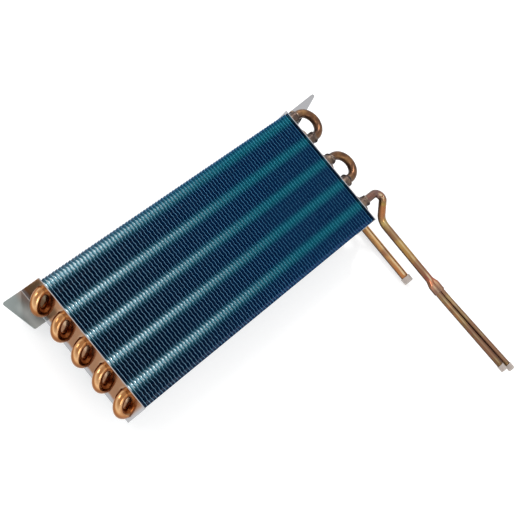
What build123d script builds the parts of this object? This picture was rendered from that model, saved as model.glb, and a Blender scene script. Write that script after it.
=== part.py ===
from build123d import *
import math
import os

# Finned condenser coil, lying on its back. X runs along the tubes, Y up the tube stack
# and Z out of the front face. The origin is the middle of the back face of the mounting
# tab on the left end plate. Every size is in millimetres.

# Tubes: five in the front row, five in the back row, half a pitch lower
tube_od = 7.0
tube_pitch = 21.0
row_pitch = 12.7
tubes_per_row = 5

# Fins: each row's collar holes are joined into one slot, which keeps the faces few
fin_count = 86
fin_pitch = 3.0
fin_thickness = 0.2
fin_depth = 25.4
fin_top_margin = 5.25
fin_bottom_margin = 5.25
fin_clearance = 0.05

# End plates: folded sheet, with a tab on the left one and a splayed ear on the right one
plate_thickness = 0.8
plate_end_gap = 2.6
plate_over_top = 1.5
plate_under_bottom = 0.5
plate_front_lip = 0.6
plate_back_lip = 0.6
plate_hole_clearance = 0.15
fold_radius = 1.0
tab_reach = 17.0
tab_foot_reach = 10.0
tab_height = 26.0
tab_rise = 3.5
tab_corner_radius = 1.5
ear_length = 51.0
ear_root_height = 12.5
ear_knee = 19.0
ear_angle = 30.0
ear_root = 0.6
ear_tip_radius = 1.5

# Bends and the flared sockets that they are brazed into
hairpin_tuck = 1.2
bend_leg = 13.2
back_bend_leg = 6.0
socket_start = 0.3
socket_length = 9.0
back_socket_length = 4.4
socket_seat = 2.0
socket_wall = 0.65
socket_clearance = 0.1
braze_height = 1.0
braze_spread = 0.5

# Connecting pipes
pipe_od = 6.35
pipe_wall = 0.6
pipe_bore_depth = 20.0
inlet_out = 19.0
inlet_drop = 20.0
inlet_set_back = 16.0
inlet_below_plate = 53.6
inlet_corner_radius = 6.9
inlet_knee_radius = 20.0
outlet_out = 26.6
outlet_drop = 7.3
outlet_slant = 12.4
outlet_set_back = 17.1
outlet_corner_radius = 5.5
outlet_upper_knee_radius = 4.0
outlet_lower_knee_radius = 12.0
bell_below_plate = 62.0
bell_taper = 7.0
bell_length = 13.6
bell_wall = 0.6

# The two thin tubes that leave the bell side by side
tail_od = 4.76
tail_wall = 0.5
tail_gap = 0.06
tail_seat = 6.0
tail_clearance = 0.05
tail_below_bell = 77.8
tail_stagger = 3.8
tail_lean = 3.7
tail_knee_below_bell = 5.0
tail_knee_radius = 250.0

# Soft plugs pushed over the open pipe ends
pipe_plug_wall = 1.0
tail_plug_wall = 0.5
plug_end = 1.2
plug_grip = 4.0
plug_clearance = 0.05
plug_round = 0.5
plug_gap = 1.0

# Places worked out from the sizes above
left_face = tab_reach / 2
left_inner = left_face + plate_thickness
fin_start = left_inner + plate_end_gap
fin_run = (fin_count - 1) * fin_pitch + fin_thickness
right_inner = fin_start + fin_run + plate_end_gap
right_face = right_inner + plate_thickness
tab_top = tab_height / 2
plate_top = tab_top - tab_rise
fin_top = plate_top - plate_over_top
row_run = (tubes_per_row - 1) * tube_pitch
stagger = tube_pitch / 2
front_top_y = fin_top - fin_top_margin
back_top_y = front_top_y - stagger
fin_bottom = back_top_y - row_run - fin_bottom_margin
plate_bottom = fin_bottom - plate_under_bottom
plate_depth = plate_back_lip + fin_depth + plate_front_lip
fin_middle_z = plate_back_lip + fin_depth / 2
front_z = fin_middle_z + row_pitch / 2
back_z = fin_middle_z - row_pitch / 2
front_y = [front_top_y - i * tube_pitch for i in range(tubes_per_row)]
back_y = [y - stagger for y in front_y]
socket_x = right_face + socket_start
seat_x = socket_x + socket_seat
stub_x = seat_x + socket_clearance

os.makedirs("parts", exist_ok=True)


def save(piece, name):
    """Labels a finished piece and writes it to its own file."""
    piece.label = name
    export_step(piece, "parts/" + name + ".step")


def plate_sheet(x, back_top):
    """Adds the flat wall of an end plate, its lower x face at x and its back corner at back_top."""
    with BuildSketch(Plane.YZ.offset(x)) as sheet:
        with BuildLine():
            Polyline(
                (plate_bottom, 0),
                (back_top, 0),
                (back_top, plate_thickness),
                (plate_top, plate_depth),
                (plate_bottom, plate_depth),
                close=True,
            )
        make_face()
        with Locations([(y, front_z) for y in front_y] + [(y, back_z) for y in back_y]):
            Circle(tube_od / 2 + plate_hole_clearance, mode=Mode.SUBTRACT)
    extrude(sheet.sketch, amount=plate_thickness)


# Left end plate: its top slopes up to the tab, which is folded outwards from the back edge
with BuildPart() as left_end_plate:
    plate_sheet(left_face, tab_top)
    with BuildSketch(Plane.XY):
        with BuildLine():
            Polyline(
                (left_inner, tab_top),
                (left_face - tab_reach, tab_top),
                (left_face - tab_foot_reach, -tab_top),
                (left_inner, -tab_top),
                close=True,
            )
        make_face()
        fillet(vertices().sort_by(Axis.X)[:2], radius=tab_corner_radius)
    extrude(amount=plate_thickness)
    inside_fold = (
        edges()
        .filter_by(Axis.Y)
        .filter_by_position(Axis.Z, plate_thickness - 0.01, plate_thickness + 0.01)
        .filter_by_position(Axis.X, left_face - 0.01, left_face + 0.01)
    )
    fillet(inside_fold, radius=fold_radius)
save(left_end_plate.part, "left_end_plate")

# Right end plate: its long pointed ear leaves the top of the back edge and leans forward
ear_plane = Plane(
    origin=(right_inner, plate_top, 0),
    x_dir=(math.cos(math.radians(ear_angle)), 0, math.sin(math.radians(ear_angle))),
    z_dir=(-math.sin(math.radians(ear_angle)), 0, math.cos(math.radians(ear_angle))),
)
with BuildPart() as right_end_plate:
    plate_sheet(right_inner, plate_top)
    with BuildSketch(ear_plane):
        with BuildLine():
            Polyline(
                (ear_root, 0),
                (ear_length, 0),
                (ear_knee, -ear_root_height),
                (ear_root, -ear_root_height),
                close=True,
            )
        make_face()
        fillet(vertices().sort_by(Axis.X)[-1], radius=ear_tip_radius)
    extrude(amount=plate_thickness)
save(right_end_plate.part, "right_end_plate")

# Fins: one blank, repeated along the tubes as separate sheets
slot_width = tube_od + 2 * fin_clearance
with BuildPart() as fin_blank:
    with BuildSketch(Plane.YZ.offset(fin_start)):
        with Locations(((fin_top + fin_bottom) / 2, fin_middle_z)):
            Rectangle(fin_top - fin_bottom, fin_depth)
        row_middles = [(front_top_y - row_run / 2, front_z), (back_top_y - row_run / 2, back_z)]
        with Locations(row_middles):
            Rectangle(row_run + slot_width, slot_width, mode=Mode.SUBTRACT)
    extrude(amount=fin_thickness)
with BuildPart() as fins:
    with Locations([Location((i * fin_pitch, 0, 0)) for i in range(fin_count)]):
        add(fin_blank.part)
save(fins.part, "fins")


def add_socket(y, z, length, stub_od):
    """Adds the flared cup at the right-hand end of one leg, bored for a tube of stub_od."""
    bore = stub_od + 2 * socket_clearance
    with BuildSketch(Plane.YZ.offset(socket_x)) as cup:
        with Locations((y, z)):
            Circle(bore / 2 + socket_wall)
    extrude(cup.sketch, amount=length)
    with BuildSketch(Plane.YZ.offset(seat_x)) as hollow:
        with Locations((y, z)):
            Circle(bore / 2)
    extrude(hollow.sketch, amount=length - socket_seat, mode=Mode.SUBTRACT)


# Hairpins: each joins a front tube to the back tube half a pitch lower, round the left end
hairpin_span = math.hypot(row_pitch, stagger)
hairpin_normal = (0, -row_pitch, stagger)
for i in range(tubes_per_row):
    bend_plane = Plane(
        origin=(left_face + hairpin_tuck, front_y[i] - stagger / 2, fin_middle_z),
        x_dir=(1, 0, 0),
        z_dir=hairpin_normal,
    )
    reach = hairpin_span / 2
    leg_end = socket_x - left_face - hairpin_tuck
    with BuildPart() as hairpin:
        with BuildLine(bend_plane) as route:
            Line((leg_end, reach), (0, reach))
            ThreePointArc((0, reach), (-reach, 0), (0, -reach))
            Line((0, -reach), (leg_end, -reach))
        with BuildSketch(Plane(origin=route.wire() @ 0, z_dir=route.wire() % 0)):
            Circle(tube_od / 2)
        sweep()
        front_stub = pipe_od if i == tubes_per_row - 1 else tube_od
        add_socket(front_y[i], front_z, socket_length, front_stub)
        back_stub = pipe_od if i == 0 else tube_od
        add_socket(back_y[i], back_z, back_socket_length, back_stub)
    save(hairpin.part, "hairpin_" + str(i + 1))


def return_bend(upper_y, z, leg, name):
    """Makes the half-circle bend from the socket at upper_y to the one a pitch below."""
    radius = tube_pitch / 2
    bend_x = right_face + leg
    with BuildPart() as bend:
        with BuildLine(Plane.XY.offset(z)) as route:
            Line((stub_x, upper_y), (bend_x, upper_y))
            ThreePointArc(
                (bend_x, upper_y), (bend_x + radius, upper_y - radius), (bend_x, upper_y - tube_pitch)
            )
            Line((bend_x, upper_y - tube_pitch), (stub_x, upper_y - tube_pitch))
        with BuildSketch(Plane(origin=route.wire() @ 0, z_dir=route.wire() % 0)):
            Circle(tube_od / 2)
        sweep()
    save(bend.part, name)


# Return bends: in pairs down the front row from the first tube, down the back row from the second
for i in range(0, tubes_per_row - 1, 2):
    return_bend(front_y[i], front_z, bend_leg, "front_return_bend_" + str(i // 2 + 1))
    return_bend(back_y[i + 1], back_z, back_bend_leg, "back_return_bend_" + str(i // 2 + 1))

# Braze rings: a sloping collar of filler round each socket's mouth
with BuildPart() as braze_rings:
    rows = ((front_y, front_z, socket_length, tubes_per_row - 1), (back_y, back_z, back_socket_length, 0))
    for levels, z, length, pipe_level in rows:
        mouth_x = socket_x + length
        for i, y in enumerate(levels):
            inner = (pipe_od if i == pipe_level else tube_od) / 2
            outer = inner + socket_clearance + socket_wall
            with BuildSketch(Plane((mouth_x, y, z), x_dir=(1, 0, 0), z_dir=(0, 0, 1))):
                with BuildLine():
                    Polyline(
                        (0, inner),
                        (braze_height, inner),
                        (braze_height - braze_spread, outer - braze_spread),
                        (0, outer),
                        close=True,
                    )
                make_face()
            revolve(axis=Axis((mouth_x, y, z), (1, 0, 0)))
save(braze_rings.part, "braze_rings")

# Inlet pipe: from the top back tube, out and down behind the back bends, to below the coil
inlet_x = right_face + inlet_out
inlet_z = back_z - inlet_set_back
inlet_y = plate_bottom - inlet_below_plate
with BuildPart() as inlet_pipe:
    with BuildLine() as inlet_route:
        FilletPolyline(
            (stub_x, back_top_y, back_z),
            (inlet_x, back_top_y, back_z),
            (inlet_x, back_top_y - inlet_drop, inlet_z),
            (inlet_x, inlet_y, inlet_z),
            radius=[inlet_corner_radius, inlet_knee_radius],
        )
    with BuildSketch(Plane(origin=inlet_route.wire() @ 0, z_dir=inlet_route.wire() % 0)):
        Circle(pipe_od / 2)
    sweep()
    with BuildSketch(Plane((inlet_x, inlet_y, inlet_z), z_dir=(0, -1, 0))):
        Circle(pipe_od / 2 - pipe_wall)
    extrude(amount=-pipe_bore_depth, mode=Mode.SUBTRACT)
save(inlet_pipe.part, "inlet_pipe")

# Outlet pipe: from the lowest front tube, out, down and back, swelling to a bell for two tubes
outlet_x = right_face + outlet_out
outlet_y = front_y[-1]
outlet_z = front_z - outlet_set_back
bell_y = plate_bottom - bell_below_plate
bell_mouth_y = bell_y - bell_length
tail_spacing = tail_od + tail_gap
bell_height = tail_od + 2 * tail_clearance + 2 * bell_wall


def bell_plane(y):
    """Gives the section plane at height y, its x axis along the line of the two tails."""
    return Plane((outlet_x, y, outlet_z), x_dir=(1, 0, 0), z_dir=(0, -1, 0))


with BuildPart() as outlet_pipe:
    with BuildLine() as outlet_route:
        FilletPolyline(
            (stub_x, outlet_y, front_z),
            (outlet_x, outlet_y, front_z),
            (outlet_x, outlet_y - outlet_drop, front_z),
            (outlet_x, outlet_y - outlet_drop - outlet_slant, outlet_z),
            (outlet_x, bell_y, outlet_z),
            radius=[outlet_corner_radius, outlet_upper_knee_radius, outlet_lower_knee_radius],
        )
    with BuildSketch(Plane(origin=outlet_route.wire() @ 0, z_dir=outlet_route.wire() % 0)):
        Circle(pipe_od / 2)
    sweep()
    with BuildSketch(bell_plane(bell_y)):
        Circle(pipe_od / 2)
    with BuildSketch(bell_plane(bell_y - bell_taper)):
        SlotCenterToCenter(tail_spacing, bell_height)
    loft()
    with BuildSketch(bell_plane(bell_y - bell_taper)):
        SlotCenterToCenter(tail_spacing, bell_height)
    extrude(amount=bell_length - bell_taper)
    with BuildSketch(bell_plane(bell_mouth_y)):
        with Locations((-tail_spacing / 2, 0), (tail_spacing / 2, 0)):
            Circle(tail_od / 2 + tail_clearance)
    extrude(amount=-tail_seat, mode=Mode.SUBTRACT)
save(outlet_pipe.part, "outlet_pipe")

# Tails: two thin tubes, seated side by side in the bell and parting enough for their plugs
tail_seat_y = bell_mouth_y + tail_seat - tail_clearance
tail_knee_y = bell_mouth_y - tail_knee_below_bell
end_spacing = tail_od + 2 * (plug_clearance + tail_plug_wall) + plug_gap
tail_routes = {}
for side, sign, extra in (("near", 1, tail_stagger), ("far", -1, 0)):
    top_x = outlet_x + sign * tail_spacing / 2
    end_x = outlet_x + tail_lean + sign * end_spacing / 2
    end_y = bell_mouth_y - tail_below_bell - extra
    with BuildLine() as tail_route:
        FilletPolyline(
            (top_x, tail_seat_y, outlet_z),
            (top_x, tail_knee_y, outlet_z),
            (end_x, end_y, outlet_z),
            radius=tail_knee_radius,
        )
    route = tail_route.wire()
    tail_routes[side] = route
    with BuildPart() as tail:
        with BuildSketch(Plane(origin=route @ 0, z_dir=route % 0)):
            Circle(tail_od / 2)
        sweep(path=route)
        with BuildSketch(Plane(origin=route @ 1, z_dir=route % 1)):
            Circle(tail_od / 2 - tail_wall)
        extrude(amount=-pipe_bore_depth, mode=Mode.SUBTRACT)
    save(tail.part, "outlet_tail_" + side)


def plug(route, od, wall, name):
    """Makes the cup pushed over the far end of a tube of diameter od that follows route."""
    with BuildPart() as cup:
        with BuildSketch(Plane(origin=route @ 1, z_dir=route % 1).offset(-plug_grip)):
            Circle(od / 2 + plug_clearance + wall)
        extrude(amount=plug_grip + plug_clearance + plug_end)
        fillet(cup.faces().sort_by(Axis.Y)[0].edges(), radius=plug_round)
        with BuildSketch(Plane(origin=route @ 1, z_dir=route % 1).offset(-plug_grip)):
            Circle(od / 2 + plug_clearance)
        extrude(amount=plug_grip + plug_clearance, mode=Mode.SUBTRACT)
    save(cup.part, name)


plug(inlet_route.wire(), pipe_od, pipe_plug_wall, "inlet_plug")
for side, route in tail_routes.items():
    plug(route, tail_od, tail_plug_wall, "outlet_plug_" + side)
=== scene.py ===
import math
import bpy
import numpy as np
from mathutils import Matrix, Vector


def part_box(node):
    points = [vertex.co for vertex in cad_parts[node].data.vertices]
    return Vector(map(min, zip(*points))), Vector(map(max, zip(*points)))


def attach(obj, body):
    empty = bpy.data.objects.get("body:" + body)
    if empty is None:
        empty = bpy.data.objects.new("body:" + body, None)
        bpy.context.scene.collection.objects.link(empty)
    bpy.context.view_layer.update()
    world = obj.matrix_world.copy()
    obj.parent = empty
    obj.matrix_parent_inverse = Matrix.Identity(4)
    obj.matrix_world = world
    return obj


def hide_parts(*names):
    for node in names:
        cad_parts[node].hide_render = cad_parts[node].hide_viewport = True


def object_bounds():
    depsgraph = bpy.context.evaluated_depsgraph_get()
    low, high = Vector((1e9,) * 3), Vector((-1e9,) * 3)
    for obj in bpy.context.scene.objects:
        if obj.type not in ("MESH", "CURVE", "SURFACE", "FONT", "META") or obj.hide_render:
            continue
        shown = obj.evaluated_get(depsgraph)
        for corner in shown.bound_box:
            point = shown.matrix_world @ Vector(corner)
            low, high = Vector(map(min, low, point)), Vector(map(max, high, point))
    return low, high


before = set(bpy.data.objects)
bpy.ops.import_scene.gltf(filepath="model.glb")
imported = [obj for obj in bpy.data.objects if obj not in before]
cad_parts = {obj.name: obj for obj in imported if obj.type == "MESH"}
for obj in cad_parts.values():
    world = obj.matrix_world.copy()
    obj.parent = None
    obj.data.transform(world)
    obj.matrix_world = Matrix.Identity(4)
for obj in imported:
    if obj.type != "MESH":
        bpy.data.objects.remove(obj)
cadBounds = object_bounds()
mm = 0.001

# Sizes shared by the pieces, in metres, the same as in the CAD source
coil = {
    "tubeRadius": 3.5 * mm,
    "pipeRadius": 3.175 * mm,
    "tailRadius": 2.38 * mm,
    "tubePitch": 21.0 * mm,
    "rowPitch": 12.7 * mm,
    "rows": 5,
    "topMargin": 5.25 * mm,
    "finCount": 86,
    "finThickness": 0.20 * mm,
    "plateThickness": 0.8 * mm,
    "endGap": 2.6 * mm,
    "hairpinTuck": 1.2 * mm,
    "socketStart": 0.3 * mm,
    "socketSeat": 2.2 * mm,
    "socketLengths": {"front": 9.0 * mm, "back": 4.4 * mm},
    "bendLegs": {"front": 13.2 * mm, "back": 6.0 * mm},
}

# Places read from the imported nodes: the fin pack's corners, the plates' outer faces and the
# heights of the front and back tubes
finLow, finHigh = (np.array(corner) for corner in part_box("fins"))
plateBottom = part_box("left_end_plate")[0][1]
leftFace = finLow[0] - coil["endGap"] - coil["plateThickness"]
rightFace = finHigh[0] + coil["endGap"] + coil["plateThickness"]
middleZ = (finLow[2] + finHigh[2]) / 2
frontZ = middleZ + coil["rowPitch"] / 2
backZ = middleZ - coil["rowPitch"] / 2
frontY = finHigh[1] - coil["topMargin"] - np.arange(coil["rows"]) * coil["tubePitch"]
backY = frontY - coil["tubePitch"] / 2

# Each side's tube heights, its depth, and which of its tubes goes on as a pipe
rows = {"front": (frontY, frontZ, coil["rows"] - 1), "back": (backY, backZ, 0)}
stubX = rightFace + coil["socketStart"] + coil["socketSeat"]

# The side that the painted light comes from, which gives each point its facing value: painted shade
# falls where a surface turns away from it, painted highlights where it turns towards it
paintedLightSide = np.array((-0.42, -0.10, 0.90), dtype=np.float32)

# The span that random phases are drawn from, nearly a full turn
phaseSpan = 6.28


# Shader maths: one wrapper round a socket, so that expressions on values add Math nodes
class Value:
    def __init__(self, graph, socket):
        self.graph = graph
        self.socket = socket

    def join(self, operation, other, swap=False):
        pair = (other, self) if swap else (self, other)
        return self.graph.add("ShaderNodeMath", {"operation": operation}, {0: pair[0], 1: pair[1]})

    def __add__(self, other):
        return self.join("ADD", other)

    __radd__ = __add__

    def __sub__(self, other):
        return self.join("SUBTRACT", other)

    def __rsub__(self, other):
        return self.join("SUBTRACT", other, swap=True)

    def __mul__(self, other):
        return self.join("MULTIPLY", other)

    __rmul__ = __mul__

    def __truediv__(self, other):
        return self.join("DIVIDE", other)

    def __rtruediv__(self, other):
        return self.join("DIVIDE", other, swap=True)

    def __pow__(self, other):
        return self.join("POWER", other)

    def __rpow__(self, other):
        return self.join("POWER", other, swap=True)


class Graph:
    def __init__(self, name):
        self.material = bpy.data.materials.new(name)
        self.material.use_nodes = True
        self.tree = self.material.node_tree
        self.shader = self.tree.nodes["Principled BSDF"]
        self.output = self.tree.nodes["Material Output"]

    # Any node: its type, its settings, the values or links of its sockets, and which output to give
    def add(self, kind, settings=None, sockets=None, out=0):
        node = self.tree.nodes.new(kind)
        for name, setting in (settings or {}).items():
            if name == "stops":
                self.ramp(node, setting)
            else:
                setattr(node, name, setting)
        for key, value in (sockets or {}).items():
            self.feed(node.inputs[key], value)
        return Value(self, node.outputs[out])

    def feed(self, socket, value):
        if isinstance(value, Value):
            self.tree.links.new(value.socket, socket)
        elif isinstance(value, (tuple, list)) and len(value) == 3 and socket.type == "RGBA":
            socket.default_value = (*value, 1.0)
        else:
            socket.default_value = value

    def ramp(self, node, stops):
        elements = node.color_ramp.elements
        while len(elements) < len(stops):
            elements.new(0.5)
        for element, (place, colour) in zip(elements, stops):
            element.position = place
            element.color = (*colour, 1.0)

    def place(self):
        return self.add("ShaderNodeTexCoord", out="Object")

    def axis(self, letter):
        return self.add("ShaderNodeSeparateXYZ", None, {"Vector": self.place()}, out=letter)

    def attribute(self, name):
        return self.add("ShaderNodeAttribute", {"attribute_name": name}, out="Fac")

    def noise(self, scale, detail, roughness=0.5, stretch=None):
        vector = self.place()
        if stretch:
            vector = self.add("ShaderNodeMapping", None, {"Vector": vector, "Scale": stretch})
        return self.add(
            "ShaderNodeTexNoise", None,
            {"Vector": vector, "Scale": scale, "Detail": detail, "Roughness": roughness},
        )

    def spread(self, value, low, high, newLow=0.0, newHigh=1.0):
        return self.add("ShaderNodeMapRange", {"interpolation_type": "SMOOTHSTEP"}, {
            "Value": value, "From Min": low, "From Max": high,
            "To Min": newLow, "To Max": newHigh,
        })

    # Sockets 6 and 7 and output 2 are the Mix node's colours
    def blend(self, mask, first, second):
        return self.add(
            "ShaderNodeMix", {"data_type": "RGBA"}, {"Factor": mask, 6: first, 7: second}, out=2,
        )

    def colours(self, value, stops):
        return self.add("ShaderNodeValToRGB", {"stops": stops}, {"Fac": value})

    def finish(self, **sockets):
        for name, value in sockets.items():
            self.feed(self.shader.inputs[name.replace("_", " ")], value)
        return self.material

    def bump(self, height, strength, distance):
        return self.add("ShaderNodeBump", None, {
            "Height": height, "Strength": strength, "Distance": distance,
        })


# Meshes: whole arrays of points and faces go straight into one mesh. Each point also stores its
# normal's dot product with the painted-light side, its facing value for painted shade and painted
# highlights
def makePiece(name, points, faces, materials, slots=None, smooth=True, attributes=None):
    mesh = bpy.data.meshes.new(name)
    points = np.asarray(points, dtype=np.float32)
    faces = np.asarray(faces, dtype=np.int32)
    count, corners = faces.shape
    mesh.vertices.add(len(points))
    mesh.vertices.foreach_set("co", points.ravel())
    mesh.loops.add(count * corners)
    mesh.loops.foreach_set("vertex_index", faces.ravel())
    mesh.polygons.add(count)
    mesh.polygons.foreach_set("loop_start", np.arange(count, dtype=np.int32) * corners)
    mesh.polygons.foreach_set("loop_total", np.full(count, corners, dtype=np.int32))
    mesh.update(calc_edges=True)
    mesh.polygons.foreach_set("use_smooth", np.full(count, smooth))
    for material in materials:
        mesh.materials.append(material)
    if slots is not None:
        mesh.polygons.foreach_set("material_index", np.asarray(slots, dtype=np.int32))
    for key, values in (attributes or {}).items():
        layer = mesh.attributes.new(key, "FLOAT", "POINT")
        layer.data.foreach_set("value", np.asarray(values, dtype=np.float32))
    mesh.validate()
    normals = np.empty(len(mesh.vertices) * 3, dtype=np.float32)
    mesh.vertex_normals.foreach_get("vector", normals)
    lift = normals.reshape(-1, 3) @ paintedLightSide
    mesh.attributes.new("lift", "FLOAT", "POINT").data.foreach_set("value", lift)
    piece = bpy.data.objects.new(name, mesh)
    bpy.context.scene.collection.objects.link(piece)
    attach(piece, "root")
    return piece


# Faces of a grid of rings, each joined to the next, and the last to the first in a closed loop
def gridFaces(rows, columns, loop=False):
    row, column = np.meshgrid(
        np.arange(rows if loop else rows - 1), np.arange(columns), indexing="ij",
    )
    across, onward = (column + 1) % columns, (row + 1) % rows
    corners = [
        row * columns + column, row * columns + across,
        onward * columns + across, onward * columns + column,
    ]
    return np.stack([corner.ravel() for corner in corners], 1)


# Flat ends for a stack of rings: strips across the first and last ring, each from one point pair
# to the next
def endFaces(rows, columns):
    near = np.arange(columns // 2 - 1)
    far = columns - 1 - near
    strips = np.stack([near, near + 1, far - 1, far], 1)
    return np.concatenate([strips[:, ::-1], strips + (rows - 1) * columns])


# A stack of rings with both of its ends
def closedFaces(rows, columns):
    return np.concatenate([gridFaces(rows, columns), endFaces(rows, columns)])


# A route of straight runs joined by arcs: each corner is cut back by radius times the tangent
# of half its turn, and the arc is swept in even steps from one run's direction to the next
def routePoints(corners, radii, step=0.6 * mm, runStep=6.0 * mm):
    corners = [np.array(corner, dtype=float) for corner in corners]
    stretches, last = [], corners[0]
    for i, radius in enumerate(radii, start=1):
        before = corners[i] - corners[i - 1]
        after = corners[i + 1] - corners[i]
        before, after = before / np.linalg.norm(before), after / np.linalg.norm(after)
        turn = math.acos(float(np.clip(before @ after, -1, 1)))
        start = corners[i] - before * radius * math.tan(turn / 2)
        side = after - before * (before @ after)
        side = side / np.linalg.norm(side)
        angles = np.linspace(0, turn, max(4, int(radius * turn / step)))[:, None]
        arc = start + radius * (np.sin(angles) * before + (1 - np.cos(angles)) * side)
        count = max(2, int(np.linalg.norm(start - last) / runStep))
        run = np.linspace(0, 1, count, endpoint=False)[:, None]
        stretches += [last + (start - last) * run, arc[:-1]]
        last = arc[-1]
    count = max(2, int(np.linalg.norm(corners[-1] - last) / runStep))
    stretches.append(last + (corners[-1] - last) * np.linspace(0, 1, count)[:, None])
    return np.concatenate(stretches)


# Two directions square to a route: the tangent is the difference of neighbours, the side is the one
# before it less its part along the new tangent, and the other is the cross product of the two
def routeFrames(points, side):
    tangents = np.gradient(points, axis=0)
    tangents /= np.linalg.norm(tangents, axis=1)[:, None]
    sides = np.zeros_like(points)
    side = np.array(side, dtype=float)
    for i, tangent in enumerate(tangents):
        side = side - tangent * (side @ tangent)
        side /= np.linalg.norm(side)
        sides[i] = side
    return sides, np.cross(tangents, sides)


# A tube: each ring is the route point plus radius times cosine and sine along the two sides.
# radii may be one number, or one per ring and angle. It also gives each point's way along
def tubeSurface(points, radii, side, around):
    sides, others = routeFrames(points, side)
    angles = np.linspace(0, 2 * math.pi, around, endpoint=False)
    radii = np.broadcast_to(radii, (len(points), around))
    rings = points[:, None, :] + radii[..., None] * (
        np.cos(angles)[None, :, None] * sides[:, None, :]
        + np.sin(angles)[None, :, None] * others[:, None, :]
    )
    lengths = np.linalg.norm(np.diff(points, axis=0), axis=1)
    along = np.concatenate([[0], np.cumsum(lengths)])
    return rings.reshape(-1, 3), closedFaces(len(points), around), np.repeat(along, around)


# Joins surfaces of points, faces, a value per point and a material slot into one of each
def joinSurfaces(surfaces):
    points, faces, slots, along, start = [], [], [], [], 0
    for surfacePoints, surfaceFaces, surfaceAlong, slot in surfaces:
        points.append(surfacePoints)
        faces.append(surfaceFaces + start)
        slots.append(np.full(len(surfaceFaces), slot))
        along.append(surfaceAlong)
        start += len(surfacePoints)
    return [np.concatenate(arrays) for arrays in (points, faces, slots, along)]


# A turned shape: each ring is a place along the line plus its radius times cosine and sine along
# two directions square to it. Each row of radii has one number, or one per angle
def turnedSurface(centre, direction, distances, radii, around):
    direction = np.array(direction, dtype=float)
    points = np.array(centre) + distances[:, None] * direction
    side = np.array((0, 0, 1.0)) - direction * direction[2]
    side /= np.linalg.norm(side)
    other = np.cross(direction, side)
    angles = np.linspace(0, 2 * math.pi, around, endpoint=False)
    rings = points[:, None, :] + np.broadcast_to(radii, (len(points), around))[..., None] * (
        np.cos(angles)[None, :, None] * side + np.sin(angles)[None, :, None] * other
    )
    return rings.reshape(-1, 3), closedFaces(len(points), around), np.repeat(distances, around)


# Camera, from the fitted view of the photograph: its three directions and its place
view = {
    "place": (-420.027, -95.253, 737.625),
    "right": (0.61349, -0.63336, 0.47168),
    "down": (-0.47595, -0.77317, -0.41915),
    "focalPixels": 1303.26,
    "imagePixels": 515,
    "sensor": 36.0,
    "farEnd": 20.0,
}


def makeCamera():
    right, down = Vector(view["right"]).normalized(), Vector(view["down"])
    down = (down - right * down.dot(right)).normalized()
    forward = right.cross(down)
    camera = bpy.data.cameras.new("camera")
    camera.sensor_width = view["sensor"]
    camera.lens = view["focalPixels"] / view["imagePixels"] * view["sensor"]
    camera.clip_end = view["farEnd"]
    holder = bpy.data.objects.new("camera", camera)
    turn = Matrix((right, -down, -forward)).transposed().to_4x4()
    holder.matrix_world = Matrix.Translation(Vector(view["place"]) * mm) @ turn
    bpy.context.scene.collection.objects.link(holder)
    bpy.context.scene.camera = holder
    print("camera placed")


# Floor and light: white to the camera and to reflections, with the object's soft shadow kept
room = {
    "floorSize": 6.0,
    "floorColour": (0.50, 0.50, 0.50),
    "floorGlow": 0.63,
    "floorRoughness": 0.9,
    "floorGap": 0.2 * mm,
    "aim": (0.14, -0.05, 0.0),
    "world": 0.75,
    "lamps": (
        {"place": (0.92, 0.88, 1.34), "size": 0.36, "power": 15.5},
        {"place": (-0.9, 0.75, 1.30), "size": 0.7, "power": 7.0},
        {"place": (-0.2, -1.3, 0.9), "size": 0.6, "power": 3.0},
    ),
}


def aimAt(holder, place):
    aim = Vector(room["aim"]) - Vector(place)
    holder.location = place
    holder.rotation_euler = aim.to_track_quat("-Z", "Y").to_euler()
    bpy.context.scene.collection.objects.link(holder)


def makeFloor(material):
    reach = room["floorSize"] / 2
    height = cadBounds[0][2] - room["floorGap"]
    corners = [(-reach, -reach), (reach, -reach), (reach, reach), (-reach, reach)]
    mesh = bpy.data.meshes.new("floor")
    mesh.from_pydata([(x, y, height) for x, y in corners], [], [(0, 1, 2, 3)])
    mesh.materials.append(material)
    floor = bpy.data.objects.new("floor", mesh)
    bpy.context.scene.collection.objects.link(floor)


def makeRoom():
    scene = bpy.context.scene
    scene.view_settings.view_transform = "Standard"
    world = bpy.data.worlds.new("room")
    scene.world = world
    world.use_nodes = True
    nodes, links = world.node_tree.nodes, world.node_tree.links
    background = nodes["Background"]
    path = nodes.new("ShaderNodeLightPath")
    seen = nodes.new("ShaderNodeMath")
    seen.operation = "MAXIMUM"
    seenToo = nodes.new("ShaderNodeMath")
    seenToo.operation = "MAXIMUM"
    links.new(path.outputs["Is Camera Ray"], seen.inputs[0])
    links.new(path.outputs["Is Glossy Ray"], seen.inputs[1])
    links.new(seen.outputs[0], seenToo.inputs[0])
    links.new(path.outputs["Is Transmission Ray"], seenToo.inputs[1])
    strength = nodes.new("ShaderNodeMapRange")
    strength.inputs["To Min"].default_value = room["world"]
    strength.inputs["To Max"].default_value = 1.0
    links.new(seenToo.outputs[0], strength.inputs["Value"])
    links.new(strength.outputs[0], background.inputs["Strength"])
    background.inputs["Color"].default_value = (1, 1, 1, 1)
    graph = Graph("floor")
    graph.finish(Base_Color=room["floorColour"], Roughness=room["floorRoughness"])
    glow = {"Color": (1, 1, 1), "Strength": room["floorGlow"]}
    glow = graph.add("ShaderNodeEmission", None, glow)
    lit = Value(graph, graph.shader.outputs[0])
    both = graph.add("ShaderNodeAddShader", None, {0: lit, 1: glow})
    graph.feed(graph.output.inputs["Surface"], both)
    makeFloor(graph.material)
    for i, lamp in enumerate(room["lamps"]):
        light = bpy.data.lights.new("lamp%d" % i, "AREA")
        light.shape = "DISK"
        light.size = lamp["size"]
        light.energy = lamp["power"]
        aimAt(bpy.data.objects.new("lamp%d" % i, light), lamp["place"])
    print("room and lamps placed")


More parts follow.
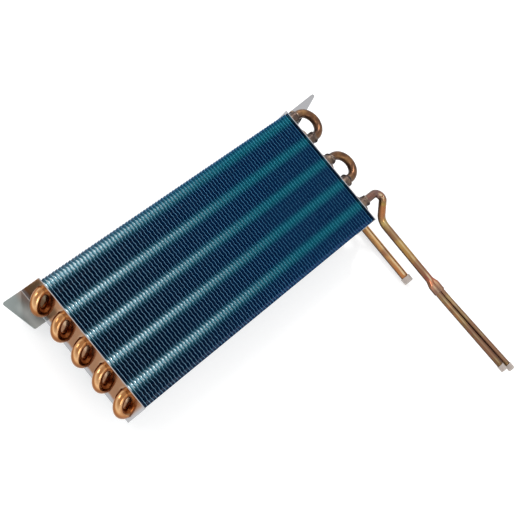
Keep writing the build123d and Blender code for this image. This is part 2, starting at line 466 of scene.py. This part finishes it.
# Height above or below the nearest of a stack of levels a tube pitch apart, one of which is first
def fromLevel(graph, first):
    height = graph.axis("Y")
    turns = height / coil["tubePitch"] + (0.5 - first / coil["tubePitch"] + 10.0)
    turn = graph.add("ShaderNodeMath", {"operation": "FRACT"}, {0: turns})
    return (turn - 0.5) * coil["tubePitch"]


# Nearness to a front tube, a smooth 1 to 0 from one distance to the other
def nearTube(graph, full, none):
    away = graph.add("ShaderNodeMath", {"operation": "ABSOLUTE"}, {0: fromLevel(graph, frontY[0])})
    return 1.0 - graph.spread(away, full, none)


# How far along the fin pack, from 0 at the hairpins to 1 towards the return bends
def alongFins(graph):
    return graph.spread(graph.axis("X"), finLow[0] - 20.0 * mm, finHigh[0] - 60.0 * mm)


# Fin sheets and their cut edges: a painted glow over the front tubes, and painted light that
# changes along the pack, bluer towards the return bends. Of two colours, the first is for the
# hairpin end
finLooks = {
    "finCoating": {
        "noise": (60.0, 3.0), "cloud": (0.002, 0.058, 0.160), "cloudShare": 0.4,
        "flat": ((0.001, 0.016, 0.050), (0.001, 0.042, 0.160)),
        "paintedGlowOverTube": ((0.080, 0.280, 0.360), (0.008, 0.230, 0.320)), "reach": 6.0 * mm,
        "metallic": 0.3, "roughness": 0.42,
    },
    "finEdge": {
        "noise": (120.0, 2.0), "cloud": (0.09, 0.31, 0.53), "cloudShare": 0.5,
        "flat": ((0.24, 0.40, 0.52), (0.06, 0.27, 0.48)),
        "paintedGlowOverTube": ((0.34, 0.60, 0.68), (0.05, 0.38, 0.50)), "reach": 4.5 * mm,
        "metallic": 0.6, "roughness": 0.38,
    },
}


def finMaterial(name):
    look = finLooks[name]
    graph = Graph(name)
    far = alongFins(graph)
    # Painted light along the pack, then a painted glow over the front tubes
    tint = graph.blend(far, *look["flat"])
    tint = graph.blend(graph.noise(*look["noise"]) * look["cloudShare"], tint, look["cloud"])
    glow = graph.blend(far, *look["paintedGlowOverTube"])
    tint = graph.blend(nearTube(graph, 0.5 * mm, look["reach"]), tint, glow)
    return graph.finish(Base_Color=tint, Metallic=look["metallic"], Roughness=look["roughness"])


# Collars: a painted glint at the hairpin end that fades towards the return bends, and painted shade
# on their lower flanks
collarLook = {
    "noise": (90.0, 2.0), "paintedGlint": ((0.80, 0.93, 0.97), (0.88, 0.97, 1.0)),
    "far": (0.010, 0.135, 0.200), "lower": (0.010, 0.080, 0.120),
    "lowerEdge": (-2.4 * mm, -0.4 * mm),
    "metallic": 0.8, "roughness": 0.26, "farRoughness": 0.24,
}


def collarCoating():
    look = collarLook
    graph = Graph("collarCoating")
    far = alongFins(graph)
    tint = graph.blend(graph.noise(*look["noise"]), *look["paintedGlint"])
    tint = graph.blend(far, tint, look["far"])
    upper = graph.spread(fromLevel(graph, frontY[0]), *look["lowerEdge"])
    tint = graph.blend(upper, look["lower"], tint)
    rough = look["roughness"] + far * look["farRoughness"]
    return graph.finish(Base_Color=tint, Metallic=look["metallic"], Roughness=rough)


# The left plate's outer face has a painted reflection of the copper bends in brown round each bend,
# with a paler painted reflection core before each; the tab is duller, with a painted copper
# reflection at its upper corner and painted light by its fold, and the ear has painted shade at its
# root
plateLook = {
    "bright": ((0.40, 0.40, 0.415), (0.50, 0.50, 0.515)),
    "paintedReflectionBrown": ((0.42, 0.20, 0.080), (0.24, 0.105, 0.042)), "paintedCoreReflection": (0.58, 0.39, 0.24),
    "paintedBendReflectionReach": (10.5 * mm, 14.0 * mm), "paintedBendReflectionForward": 2.5 * mm, "paintedBendReflectionShare": 0.95,
    "coreReach": (4.0 * mm, 8.5 * mm), "coreDown": 3.0 * mm, "coreForward": 1.5 * mm,
    "tab": (0.185, 0.215, 0.21), "foldPaintedLight": (0.50, 0.54, 0.53), "paintedTabReflection": (0.24, 0.165, 0.13),
    "paintedTabReflectionShare": 0.85, "earRootPaintedShade": (0.045, 0.045, 0.05), "earRootPaintedShadeShare": 0.9,
    "spangle": 160.0, "roughness": (0.10, 0.18), "tabRougher": 0.34, "tabLessMetallic": 0.75,
}


def galvanised():
    look = plateLook
    graph = Graph("galvanised")
    across, level = graph.axis("X"), graph.axis("Y")
    depth = graph.axis("Z") - middleZ
    spangle = graph.add(
        "ShaderNodeTexVoronoi", {"feature": "F1"},
        {"Vector": graph.place(), "Scale": look["spangle"]}, out="Distance",
    )
    cloud = graph.noise(35.0, 4.0)
    bright = graph.blend(cloud, *look["bright"])

    # Painted reflection of the copper round each bend, on the left outer face only
    onOuter = 1.0 - graph.spread(across, leftFace + 0.1 * mm, leftFace + 0.3 * mm)
    overEnd = graph.spread(level, finLow[1], finLow[1] + 4.0 * mm)
    height = fromLevel(graph, frontY[0] - coil["tubePitch"] / 4)
    inward = depth - look["paintedBendReflectionForward"]
    away = (height * height * 0.25 + inward * inward) ** 0.5
    paintedBendReflection = (1.0 - graph.spread(away, *look["paintedBendReflectionReach"])) * onOuter * overEnd
    below = fromLevel(graph, frontY[0]) + look["coreDown"]
    forward = depth - coil["rowPitch"] / 2 - look["coreForward"]
    paintedCoreReflection = 1.0 - graph.spread((below * below + forward * forward) ** 0.5, *look["coreReach"])
    paintedReflectionBrown = graph.blend(paintedCoreReflection, graph.blend(cloud, *look["paintedReflectionBrown"]), look["paintedCoreReflection"])

    # Tab: painted light by the fold, lower down, and a painted reflection of the copper at the
    # upper corner by the plate
    onTab = 1.0 - graph.spread(across, leftFace - 0.5 * mm, leftFace - 0.05 * mm)
    foldPaintedLightMask = graph.spread(across, leftFace - 14.0 * mm, leftFace - 7.0 * mm)
    foldPaintedLightMask = foldPaintedLightMask * graph.spread(level, 9.0 * mm, -3.0 * mm)
    # Painted reflection of the first hairpin's copper on the tab, near the plate and high up
    paintedTabReflection = graph.spread(across, leftFace - 8.0 * mm, leftFace)
    paintedTabReflection = paintedTabReflection * graph.spread(level, -5.0 * mm, 7.0 * mm)
    dull = graph.blend(foldPaintedLightMask, look["tab"], look["foldPaintedLight"])
    dull = graph.blend(paintedTabReflection * look["paintedTabReflectionShare"], dull, look["paintedTabReflection"])

    # Painted shade at the root of the ear
    root = graph.spread(across, rightFace - 0.2 * mm, rightFace + 0.8 * mm)
    root = root * graph.spread(across, rightFace + 8.0 * mm, rightFace + 5.0 * mm)
    root = root * graph.spread(level, finHigh[1] - 2.6 * mm, finHigh[1] - 1.6 * mm)
    bright = graph.blend(root * look["earRootPaintedShadeShare"], bright, look["earRootPaintedShade"])

    tint = graph.blend(paintedBendReflection * look["paintedBendReflectionShare"], bright, paintedReflectionBrown)
    tint = graph.blend(onTab, tint, dull)
    rough = graph.spread(spangle, 0.0, 0.9, *look["roughness"]) + onTab * look["tabRougher"]
    metallic = 1.0 - onTab * look["tabLessMetallic"]
    normal = graph.bump(graph.noise(900.0, 3.0) * 0.5 + spangle * 0.3, 0.05, 0.2 * mm)
    return graph.finish(Base_Color=tint, Metallic=metallic, Roughness=rough, Normal=normal)


# Painted shade: the tint goes dark where the surface turns away from the painted-light side, by the
# facing value stored on its points
def shade(graph, tint, paintedShade, low, high):
    return graph.blend(graph.spread(graph.attribute("lift"), low, high), paintedShade, tint)


# Drawn copper: its colour is painted light, bands of painted highlight and painted reflection,
# light and dark, that follow the facing towards the painted-light side, made uneven by a cloud
brightLook = {
    "stops": [
        (0.34, (0.11, 0.038, 0.014)), (0.50, (0.26, 0.095, 0.030)),
        (0.62, (0.58, 0.28, 0.105)), (0.70, (0.22, 0.080, 0.026)),
        (0.83, (0.34, 0.135, 0.045)), (0.91, (0.74, 0.44, 0.22)),
        (0.98, (0.36, 0.155, 0.055)),
    ],
    "waver": 0.22, "roughness": (0.13, 0.22),
}


def brightCopper():
    look = brightLook
    graph = Graph("brightCopper")
    cloud = graph.noise(70.0, 4.0)
    drawn = graph.noise(40.0, 4.0, stretch=(2.0, 30.0, 30.0))
    paintedLightBands = graph.attribute("lift") + (cloud - 0.5) * look["waver"]
    tint = graph.colours(paintedLightBands * 0.5 + 0.5, look["stops"])
    rough = graph.spread(drawn, 0.3, 0.7, *look["roughness"])
    normal = graph.bump(drawn, 0.06, 0.3 * mm)
    return graph.finish(Base_Color=tint, Metallic=1.0, Roughness=rough, Normal=normal)


# Copper that a torch has browned, duller at its ends where the look has a colour for them, and
# painted shade where the surface turns away from the painted-light side
brownedLooks = {
    "tarnishedCopper": {
        "noise": (95.0, 5.0, 0.6), "pits": (300.0, 0.15, 0.4 * mm),
        "stops": [
            (0.32, (0.052, 0.028, 0.020)), (0.5, (0.135, 0.064, 0.032)),
            (0.68, (0.27, 0.145, 0.062)),
        ],
        "ends": (0.10, 0.068, 0.050), "endsShare": 0.55, "paintedShade": (0.036, 0.020, 0.016),
        "roughness": (0.28, 0.44), "metallic": 0.95,
    },
    "socketCopper": {
        "noise": (160.0, 5.0, 0.65), "pits": (420.0, 0.3, 0.5 * mm),
        "stops": [
            (0.30, (0.045, 0.030, 0.028)), (0.5, (0.110, 0.074, 0.056)),
            (0.68, (0.25, 0.175, 0.12)),
        ],
        "paintedShade": (0.036, 0.024, 0.024), "roughness": (0.30, 0.48), "metallic": 0.85,
    },
}


def brownedCopper(name):
    look = brownedLooks[name]
    graph = Graph(name)
    cloud = graph.noise(*look["noise"])
    tint = graph.colours(cloud, look["stops"])
    if "ends" in look:
        middle = graph.spread(graph.attribute("along"), 0.2, 0.5)
        tint = graph.blend(middle, graph.blend(look["endsShare"], tint, look["ends"]), tint)
    tint = shade(graph, tint, look["paintedShade"], 0.0, 0.85)
    rough = graph.spread(cloud, 0.3, 0.7, *look["roughness"])
    scale, strength, distance = look["pits"]
    normal = graph.bump(graph.noise(scale, 4.0), strength, distance)
    return graph.finish(
        Base_Color=tint, Metallic=look["metallic"], Roughness=rough, Normal=normal,
    )


# Braze filler: one cloud gives both its two tints and its bumps, and painted shade darkens it where
# it turns away from the painted-light side
brazeLook = {
    "noise": (260.0, 4.0), "tints": ((0.050, 0.036, 0.034), (0.30, 0.22, 0.16)),
    "paintedShade": (0.030, 0.020, 0.020), "metallic": 0.9, "roughness": 0.36,
}


def brazeFiller():
    look = brazeLook
    graph = Graph("brazeFiller")
    cloud = graph.noise(*look["noise"])
    tint = graph.blend(graph.spread(cloud, 0.42, 0.66), *look["tints"])
    tint = shade(graph, tint, look["paintedShade"], 0.0, 0.8)
    normal = graph.bump(cloud, 0.3, 0.4 * mm)
    return graph.finish(
        Base_Color=tint, Metallic=look["metallic"], Roughness=look["roughness"], Normal=normal,
    )


# Heat tints follow the distance along the pipe, blurred by a little noise, with streaks, orange
# and rose patches, painted shade on the side turned away and a painted highlight line, both by the
# facing value
heatLook = {
    "wander": 0.10, "streak": (0.12, 0.075, 0.045), "orange": (0.46, 0.175, 0.060),
    "rose": (0.22, 0.095, 0.065), "paintedShade": (0.070, 0.034, 0.018), "paintedHighlight": (0.90, 0.76, 0.48),
    "roughness": (0.18, 0.34),
}
pipeLooks = {
    "inletCopper": {"paintedHighlightShare": 0.5, "stops": [
        (0.0, (0.20, 0.12, 0.07)), (0.25, (0.46, 0.23, 0.08)), (0.6, (0.60, 0.32, 0.11)),
        (1.0, (0.52, 0.25, 0.10)),
    ]},
    "outletCopper": {"paintedHighlightShare": 0.5, "stops": [
        (0.0, (0.17, 0.10, 0.10)), (0.19, (0.20, 0.115, 0.105)), (0.23, (0.20, 0.13, 0.09)),
        (0.255, (0.36, 0.29, 0.07)), (0.29, (0.24, 0.125, 0.085)), (0.37, (0.28, 0.16, 0.09)),
        (0.43, (0.45, 0.32, 0.11)), (0.66, (0.42, 0.235, 0.072)), (0.82, (0.34, 0.165, 0.070)),
        (0.885, (0.30, 0.075, 0.065)), (0.93, (0.54, 0.19, 0.095)), (1.0, (0.34, 0.27, 0.20)),
    ]},
    "tailCopper": {"paintedHighlightShare": 0.30, "stops": [
        (0.0, (0.40, 0.19, 0.10)), (0.10, (0.34, 0.22, 0.09)), (0.25, (0.24, 0.12, 0.060)),
        (0.4, (0.28, 0.17, 0.07)), (0.55, (0.20, 0.10, 0.050)), (0.7, (0.25, 0.155, 0.065)),
        (1.0, (0.18, 0.105, 0.045)),
    ]},
}


def heatTinted(name):
    look, heat = pipeLooks[name], heatLook
    graph = Graph(name)
    wander = graph.noise(60.0, 4.0, 0.6)
    tint = graph.colours(graph.attribute("along") + (wander - 0.5) * heat["wander"], look["stops"])
    fine = graph.noise(45.0, 5.0, 0.6, stretch=(12.0, 1.5, 12.0))
    patches = graph.noise(30.0, 3.0, stretch=(1.4, 1.5, 1.4))
    tint = graph.blend(graph.spread(fine, 0.42, 0.62, 0.0, 0.5), tint, heat["streak"])
    tint = graph.blend(graph.spread(patches, 0.52, 0.66, 0.0, 0.75), tint, heat["orange"])
    tint = graph.blend(graph.spread(patches, 0.48, 0.36, 0.0, 0.70), tint, heat["rose"])
    lift = graph.attribute("lift") + (fine - 0.5) * 0.14
    tint = graph.blend(graph.spread(lift, 0.1, 0.92), heat["paintedShade"], tint)
    paintedHighlight = graph.spread(lift, 0.93, 1.0, 0.0, look["paintedHighlightShare"])
    paintedHighlight = paintedHighlight * graph.spread(patches, 0.36, 0.55, 0.35, 1.0)
    tint = graph.blend(paintedHighlight, tint, heat["paintedHighlight"])
    rough = graph.spread(fine, 0.3, 0.7, *heat["roughness"])
    normal = graph.bump(fine, 0.12, 0.3 * mm)
    return graph.finish(Base_Color=tint, Metallic=1.0, Roughness=rough, Normal=normal)


# Plug plastic: pale, a little see-through
plugLook = {
    "noise": (200.0, 2.0), "tints": ((0.42, 0.355, 0.315), (0.56, 0.50, 0.46)),
    "roughness": 0.30, "alpha": 0.78,
}


def milkyPlastic():
    look = plugLook
    graph = Graph("milkyPlastic")
    tint = graph.blend(graph.noise(*look["noise"]), *look["tints"])
    return graph.finish(Base_Color=tint, Roughness=look["roughness"], Alpha=look["alpha"])


# Fins: each sheet's x place is its pitch plus a sine of the height, so that its edges ripple, and
# its front edge leans a little to one side. The first and last sheet stay flat
fins = {
    "ripple": 0.22 * mm,
    "rippleLength": 4.2 * mm,
    "phaseSpread": 0.25,
    "samples": 8,
    "lean": 0.04 * mm,
    "seed": 4,
}
finPitch = (finHigh[0] - finLow[0] - coil["finThickness"]) / (coil["finCount"] - 1)


def makeFins(coating, edge):
    count = coil["finCount"]
    heights = int((finHigh[1] - finLow[1]) / fins["rippleLength"] * fins["samples"]) + 1
    y = np.linspace(finLow[1], finHigh[1], heights)
    random = np.random.default_rng(fins["seed"])
    half = coil["finThickness"] / 2
    order = np.arange(count)
    base = finLow[0] + half + order * finPitch
    phase = random.normal(0, fins["phaseSpread"], count)
    free = np.minimum(1, np.minimum(order, order[::-1]))[:, None]
    ripples = (y[None, :] - finLow[1]) / fins["rippleLength"]
    wave = np.sin(2 * math.pi * ripples + phase[:, None])
    lean = random.normal(0, 1, count)[:, None] * fins["lean"] * free
    centre = base[:, None] + free * fins["ripple"] * wave
    corners = []
    for side, depth in ((-1, 0), (-1, 1), (1, 1), (1, 0)):
        x = centre + side * half + lean * depth
        z = (finLow[2], finHigh[2])[depth]
        corners.append(np.stack([x, np.broadcast_to(y, x.shape), np.full(x.shape, z)], -1))
    points = np.stack(corners, 2).reshape(-1, 3)
    ends = np.array([[3, 2, 1, 0], [0, 1, 2, 3]])
    ends[1] += (heights - 1) * 4
    single = np.concatenate([gridFaces(heights, 4), ends])
    faces = (single[None] + (order * heights * 4)[:, None, None]).reshape(-1, 4)
    onEdge = np.concatenate([np.tile((0, 1, 0, 1), heights - 1), (1, 1)])
    piece = makePiece(
        "finSheets", points, faces, [coating, edge], np.tile(onEdge, count), smooth=False,
    )
    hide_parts("fins")
    print("fins:", count, "sheets,", len(faces), "faces")


# Collars: a sleeve on each tube whose radius is largest at each fin and falls away after it.
# The profile gives shares of a fin pitch and of the flare
collars = {
    "radius": 3.95 * mm,
    "flare": 0.45 * mm,
    "around": 20,
    "profile": ((0.02, 1.0), (0.10, 0.35), (0.25, 0.05), (0.85, 0.0), (0.97, 0.12)),
}


def makeCollars(coating):
    steps, flare = np.array(collars["profile"]).T
    x = (finLow[0] + (np.arange(-1, coil["finCount"])[:, None] + steps) * finPitch).ravel()
    x = np.clip(x, leftFace + coil["plateThickness"], rightFace - coil["plateThickness"])
    radius = np.tile(collars["radius"] + collars["flare"] * flare, coil["finCount"] + 1)
    surfaces = []
    for levels, depth in ((frontY, frontZ), (backY, backZ)):
        for y in levels:
            sleeve = turnedSurface(
                (0, y, depth), (1, 0, 0), x, radius[:, None], collars["around"],
            )
            surfaces.append((*sleeve, 0))
    points, faces, slots, _ = joinSurfaces(surfaces)
    piece = makePiece("finCollars", points, faces, [coating], slots)
    print("collars:", len(faces), "faces")


# Sockets: a turned sleeve whose profile gives shares of the depth, radii in mm, and how much of the
# unevenness shows. The unevenness at an angle is a sum of three cosines, drawn for each socket
sockets = {
    "around": 32,
    "inPlate": 0.5 * mm,
    "unevenness": 0.10 * mm,
    "profile": (
        (0.0, 3.6, 0), (0.12, 3.9, 0), (0.3, 4.15, 0.1), (0.55, 4.22, 0.3), (0.78, 4.3, 0.6),
        (0.9, 4.45, 1.0), (0.97, 4.45, 1.0), (1.0, 4.2, 0.6),
    ),
    "lipOverlap": 0.05 * mm,
}


def socketSurface(y, z, length, innerRadius, seed):
    random = np.random.default_rng(seed)
    start = rightFace - sockets["inPlate"]
    depth = rightFace + coil["socketStart"] + length - start
    angles = np.linspace(0, 2 * math.pi, sockets["around"], endpoint=False)
    uneven = sum(
        random.normal(0, sockets["unevenness"]) * np.cos(k * angles + random.uniform(0, phaseSpan))
        for k in (1, 2, 3)
    )
    lip = (1.0, (innerRadius - sockets["lipOverlap"]) / mm, 0)
    shares, radii, amount = np.array((*sockets["profile"], lip)).T
    rings = radii[:, None] * mm + amount[:, None] * uneven[None, :]
    return turnedSurface((start, y, z), (1, 0, 0), shares * depth, rings, sockets["around"])


# Bent tubes: the bend's points are its centre plus its radius times cosine along X and sine across.
# The tube's radius is less by flatten, times how strongly the ring is bent, times the square of the
# cosine or sine of the angle round the tube
bends = {
    "around": 36,
    "rings": 40,
    "hairpin": {"legRings": 30, "legStart": 1 * mm, "flatten": 0.035},
    "return": {"legRings": 10, "flatten": 0.05},
}


# How strongly each ring is bent: 0 on the legs, and a half wave of sine over the bend
def bendShare(legRings):
    leg = np.zeros(legRings)
    return np.concatenate([leg, np.sin(np.linspace(0, math.pi, bends["rings"])), leg])


def makeHairpins(copper, socket):
    theta = np.linspace(0, 2 * math.pi, bends["around"], endpoint=False)
    shape = bends["hairpin"]
    legEnd = rightFace - leftFace - coil["hairpinTuck"]
    toRight = np.array((1, 0, 0))
    for i in range(coil["rows"]):
        top = np.array((0, frontY[i], frontZ))
        bottom = np.array((0, backY[i], backZ))
        span = np.linalg.norm(top - bottom)
        across = (top - bottom) / span
        centre = (top + bottom) / 2 + (leftFace + coil["hairpinTuck"]) * toRight
        angles = np.linspace(math.pi / 2, 3 * math.pi / 2, bends["rings"])[:, None]
        arc = centre + span / 2 * (np.cos(angles) * toRight + np.sin(angles) * across)
        leg = np.linspace(shape["legStart"], legEnd, shape["legRings"])[:, None] * toRight
        route = np.concatenate([arc[0] + leg[::-1], arc, arc[-1] + leg])
        squash = shape["flatten"] * bendShare(shape["legRings"])[:, None] * np.cos(theta) ** 2
        points, faces, along = tubeSurface(
            route, coil["tubeRadius"] * (1 - squash), np.cross(toRight, across), bends["around"],
        )
        surfaces = [(points, faces, along / along[-1], 0)]
        for side, (levels, z, pipeLevel) in rows.items():
            inner = coil["pipeRadius"] if i == pipeLevel else coil["tubeRadius"]
            seed = 10 * i + int(side == "front")
            sleeve = socketSurface(levels[i], z, coil["socketLengths"][side], inner, seed)
            surfaces.append((*sleeve, 1))
        points, faces, slots, along = joinSurfaces(surfaces)
        piece = makePiece(
            "hairpinTube%d" % (i + 1), points, faces, [copper, socket], slots,
            attributes={"along": along},
        )
        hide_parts("hairpin_%d" % (i + 1))
    print("hairpins made")


# Return bends: half a circle between straight legs that end inside the sockets
def makeReturnBends(copper):
    theta = np.linspace(0, 2 * math.pi, bends["around"], endpoint=False)
    shape = bends["return"]
    radius = coil["tubePitch"] / 2
    rings = shape["legRings"]
    squash = shape["flatten"] * bendShare(rings)[:, None] * np.sin(theta) ** 2
    for name, uppers, z in (("front", frontY[0:4:2], frontZ), ("back", backY[1:4:2], backZ)):
        for number, upper in enumerate(uppers, start=1):
            bendX = rightFace + coil["bendLegs"][name]
            angles = np.linspace(math.pi / 2, -math.pi / 2, bends["rings"])[:, None]
            arc = np.array((bendX, upper - radius, z)) + radius * (
                np.cos(angles) * np.array((1, 0, 0)) + np.sin(angles) * np.array((0, 1, 0))
            )
            legs = np.linspace(stubX, bendX, rings, endpoint=False)
            first = np.stack([legs, np.full(rings, upper), np.full(rings, z)], 1)
            second = first[::-1] - (0, 2 * radius, 0)
            points, faces, along = tubeSurface(
                np.concatenate([first, arc, second]), coil["tubeRadius"] * (1 - squash),
                (0, 0, 1), bends["around"],
            )
            middle = 1 - np.abs(along / along[-1] * 2 - 1)
            piece = makePiece(
                "%sReturnBend%d" % (name, number), points, faces, [copper],
                attributes={"along": middle},
            )
            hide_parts("%s_return_bend_%d" % (name, number))
    print("return bends made")


# Braze: a ring round each socket's mouth with a round section. The section's radius at an angle is
# the bead's times one plus a sum of four cosines, kept between the two limits
braze = {
    "bead": 1.25 * mm,
    "wander": 0.22,
    "limits": (0.5, 1.4),
    "out": 0.35 * mm,
    "back": 0.1 * mm,
    "around": 40,
    "section": 10,
    "seed": 100,
}


def makeBraze(filler):
    theta = np.linspace(0, 2 * math.pi, braze["around"], endpoint=False)
    phi = np.linspace(0, 2 * math.pi, braze["section"], endpoint=False)
    surfaces = []
    for row, (side, (levels, z, pipeLevel)) in enumerate(rows.items()):
        mouth = rightFace + coil["socketStart"] + coil["socketLengths"][side]
        for i, y in enumerate(levels):
            random = np.random.default_rng(braze["seed"] + 10 * row + i)
            inner = coil["pipeRadius"] if i == pipeLevel else coil["tubeRadius"]
            wander = sum(
                random.normal(0, braze["wander"]) * np.cos(k * theta + random.uniform(0, phaseSpan))
                for k in (1, 2, 3, 4)
            )
            bead = braze["bead"] * np.clip(1 + wander, *braze["limits"])[:, None]
            reach = inner + braze["out"] + bead * np.sin(phi)[None, :]
            ring = np.stack([
                mouth - braze["back"] + bead * np.cos(phi)[None, :],
                y + reach * np.cos(theta)[:, None], z + reach * np.sin(theta)[:, None],
            ], -1).reshape(-1, 3)
            faces = gridFaces(braze["around"], braze["section"], loop=True)
            surfaces.append((ring, faces, np.zeros(len(ring)), 0))
    points, faces, slots, _ = joinSurfaces(surfaces)
    piece = makePiece("brazeBeads", points, faces, [filler], slots)
    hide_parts("braze_rings")
    print("braze beads made")


# Pipes: the same corners and radii as the solids
inlet = {
    "out": 19.0 * mm, "drop": 20.0 * mm, "setBack": 16.0 * mm, "below": 53.6 * mm,
    "radii": (6.9 * mm, 20.0 * mm), "around": 32,
}
outlet = {
    "out": 26.6 * mm, "drop": 7.3 * mm, "slant": 12.4 * mm, "setBack": 17.1 * mm,
    "radii": (5.5 * mm, 4.0 * mm, 12.0 * mm), "around": 48,
    "bellBelow": 62.0 * mm, "bellTaper": 7.0 * mm, "bellLength": 13.6 * mm,
    "bellWall": 0.6 * mm, "bellRings": 24, "waist": 0.16, "waistWidth": 0.30,
}
tails = {
    "gap": 0.06 * mm, "seat": 5.9 * mm, "straight": 5.0 * mm, "bendRadius": 250.0 * mm,
    "below": 77.8 * mm, "lean": 3.7 * mm, "endSpacing": 6.86 * mm, "around": 28,
    "sides": {"near": (1, 3.8 * mm), "far": (-1, 0.0)},
}
inletX = rightFace + inlet["out"]
inletZ = backZ - inlet["setBack"]
inletEnd = np.array((inletX, plateBottom - inlet["below"], inletZ))
outletX = rightFace + outlet["out"]
outletZ = frontZ - outlet["setBack"]
bellY = plateBottom - outlet["bellBelow"]
mouthY = bellY - outlet["bellLength"]
tailSpacing = 2 * coil["tailRadius"] + tails["gap"]


def makeInletPipe(material):
    route = routePoints([
        (stubX, backY[0], backZ), (inletX, backY[0], backZ),
        (inletX, backY[0] - inlet["drop"], inletZ), inletEnd,
    ], inlet["radii"])
    points, faces, along = tubeSurface(route, coil["pipeRadius"], (0, 0, 1), inlet["around"])
    piece = makePiece(
        "inletTube", points, faces, [material], attributes={"along": along / along[-1]},
    )
    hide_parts("inlet_pipe")
    print("inlet pipe made")


# The bell's section is a circle that widens along the line of the two tails: its radius at an
# angle is that of two lobes, blended in by how far along the bell the ring lies, and pinched to a
# waist between the lobes by a bell curve that grows towards the mouth
def makeOutletPipe(material):
    turnY = frontY[-1] - outlet["drop"]
    route = routePoints([
        (stubX, frontY[-1], frontZ), (outletX, frontY[-1], frontZ), (outletX, turnY, frontZ),
        (outletX, turnY - outlet["slant"], outletZ), (outletX, bellY, outletZ),
    ], outlet["radii"])
    bell = np.linspace(bellY, mouthY, outlet["bellRings"])[1:]
    bell = np.stack([np.full(len(bell), outletX), bell, np.full(len(bell), outletZ)], 1)
    route = np.concatenate([route, bell])
    firstSide = (0, 1, 0.2)
    sides, others = routeFrames(route, firstSide)
    theta = np.linspace(0, 2 * math.pi, outlet["around"], endpoint=False)
    bearing = theta - math.atan2(others[-1][0], sides[-1][0])
    cosine = np.abs(np.cos(bearing))
    half = tailSpacing / 2
    lobe = coil["tailRadius"] + outlet["bellWall"]
    chord = lobe ** 2 - (half * np.sin(bearing)) ** 2
    lobes = half * cosine + np.sqrt(np.maximum(chord, 0))
    waist = outlet["waist"] * np.exp(-(cosine / outlet["waistWidth"]) ** 2)
    gone = bellY - route[:, 1]
    progress = np.clip(gone / outlet["bellTaper"], 0, 1)
    progress = (progress * progress * (3 - 2 * progress))[:, None]
    straight = outlet["bellLength"] - outlet["bellTaper"]
    pinch = np.clip((gone - outlet["bellTaper"]) / straight, 0, 1)[:, None]
    shape = lobes * (1 - waist * pinch)
    radii = coil["pipeRadius"] * (1 - progress) + shape * progress
    points, faces, along = tubeSurface(route, radii, firstSide, outlet["around"])
    piece = makePiece(
        "outletTube", points, faces, [material], attributes={"along": along / along[-1]},
    )
    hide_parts("outlet_pipe")
    print("outlet pipe made")


def tailRoute(sign, extra):
    topX = outletX + sign * tailSpacing / 2
    endX = outletX + tails["lean"] + sign * tails["endSpacing"] / 2
    return routePoints([
        (topX, mouthY + tails["seat"], outletZ), (topX, mouthY - tails["straight"], outletZ),
        (endX, mouthY - tails["below"] - extra, outletZ),
    ], (tails["bendRadius"],))


def makeTails(material):
    for side, place in tails["sides"].items():
        route = tailRoute(*place)
        points, faces, along = tubeSurface(route, coil["tailRadius"], (0, 0, 1), tails["around"])
        piece = makePiece(
            side + "Tail", points, faces, [material], attributes={"along": along / along[-1]},
        )
        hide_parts("outlet_tail_" + side)
    print("tails made")


# Plugs: a turned cup, a little out of round by a cosine of twice the angle. The profile over the
# pipe gives shares of the grip and of the outer radius, the one past its end shares of the tip
plugs = {
    "grip": 4.0 * mm,
    "tip": 1.25 * mm,
    "around": 28,
    "outOfRound": 0.02,
    "overPipe": ((-1, 1), (-0.8, 0.985), (-0.4, 0.975), (0, 0.98)),
    "overTip": ((0.6, 0.97), (0.92, 0.9), (1, 0.7), (1, 0.01)),
    "inletRadii": (3.2 * mm, 4.2 * mm),
    "tailRadii": (2.4 * mm, 2.9 * mm),
}


def makePlug(name, node, end, direction, radii, material, seed):
    inner, outer = radii
    random = np.random.default_rng(seed)
    theta = np.linspace(0, 2 * math.pi, plugs["around"], endpoint=False)
    swell = plugs["outOfRound"] * (np.cos(2 * theta + random.uniform(0, phaseSpan)) - 1)
    overPipe, overTip = np.array(plugs["overPipe"]).T, np.array(plugs["overTip"]).T
    distances = np.concatenate([
        [-plugs["grip"]], overPipe[0] * plugs["grip"], overTip[0] * plugs["tip"],
    ])
    profile = np.concatenate([[inner], overPipe[1] * outer, overTip[1] * outer])
    rings = profile[:, None] * (1 + swell)
    points, faces, _ = turnedSurface(end, direction, distances, rings, plugs["around"])
    piece = makePiece(name, points, faces, [material])
    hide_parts(node)


def makePlugs(material):
    down = (0, -1, 0)
    makePlug("inletPlug", "inlet_plug", inletEnd, down, plugs["inletRadii"], material, 1)
    for seed, (side, place) in zip((3, 2), tails["sides"].items()):
        end, before = tailRoute(*place)[[-1, -2]]
        direction = (end - before) / np.linalg.norm(end - before)
        node = "outlet_plug_" + side
        makePlug(side + "Plug", node, end, direction, plugs["tailRadii"], material, seed)
    print("plugs made")


def dressPlates(material):
    for node in ("left_end_plate", "right_end_plate"):
        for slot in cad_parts[node].material_slots:
            slot.material = material
    print("end plates dressed")


makeCamera()
makeRoom()
dressPlates(galvanised())
makeFins(finMaterial("finCoating"), finMaterial("finEdge"))
makeCollars(collarCoating())
makeHairpins(brightCopper(), brownedCopper("socketCopper"))
makeReturnBends(brownedCopper("tarnishedCopper"))
makeBraze(brazeFiller())
makeInletPipe(heatTinted("inletCopper"))
makeOutletPipe(heatTinted("outletCopper"))
makeTails(heatTinted("tailCopper"))
makePlugs(milkyPlastic())
